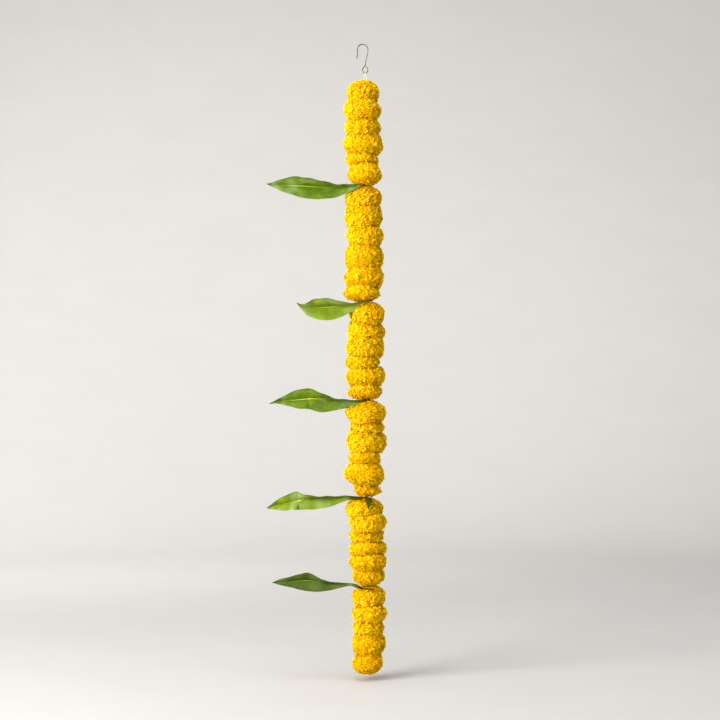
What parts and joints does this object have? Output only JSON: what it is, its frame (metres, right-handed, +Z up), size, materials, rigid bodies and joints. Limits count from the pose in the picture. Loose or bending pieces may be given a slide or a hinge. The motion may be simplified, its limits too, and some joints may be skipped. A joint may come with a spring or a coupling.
{
  "type": "marigold garland",
  "caption": "Hanging marigold garland: round ruffled flower heads strung closely on a thread below a small wire hook, with long green leaves set sideways between groups of heads.",
  "frame": {"origin": "underside of the crown of the wire hook, where it bears on the nail or rail that it hangs from", "axes": "+Z up along the hanging garland; the leaves point towards -X and their upper faces look towards -Y"},
  "size_m": [0.1965, 0.0722, 1.0324],
  "materials": {
    "petals": "matte",
    "leaf": "satin",
    "thread": "matte",
    "wire": "satin"
  },
  "bodies": {
    "root": {"garland_hook": "wire", "garland_thread": "thread", "flower_01": "petals", "flower_02": "petals", "flower_03": "petals", "flower_04": "petals", "flower_05": "petals", "flower_06": "petals", "flower_07": "petals", "flower_08": "petals", "flower_09": "petals", "flower_10": "petals", "flower_11": "petals", "flower_12": "petals", "flower_13": "petals", "flower_14": "petals", "flower_15": "petals", "flower_16": "petals", "flower_17": "petals", "flower_18": "petals", "flower_19": "petals", "flower_20": "petals", "flower_21": "petals", "flower_22": "petals", "flower_23": "petals", "flower_24": "petals", "flower_25": "petals", "flower_26": "petals", "flower_27": "petals", "flower_28": "petals", "flower_29": "petals", "flower_30": "petals", "flower_31": "petals", "flower_32": "petals", "flower_33": "petals", "flower_34": "petals", "flower_35": "petals", "leaf_1": "leaf", "leaf_2": "leaf", "leaf_3": "leaf", "leaf_4": "leaf", "leaf_5": "leaf"}
  },
  "joints": []
}
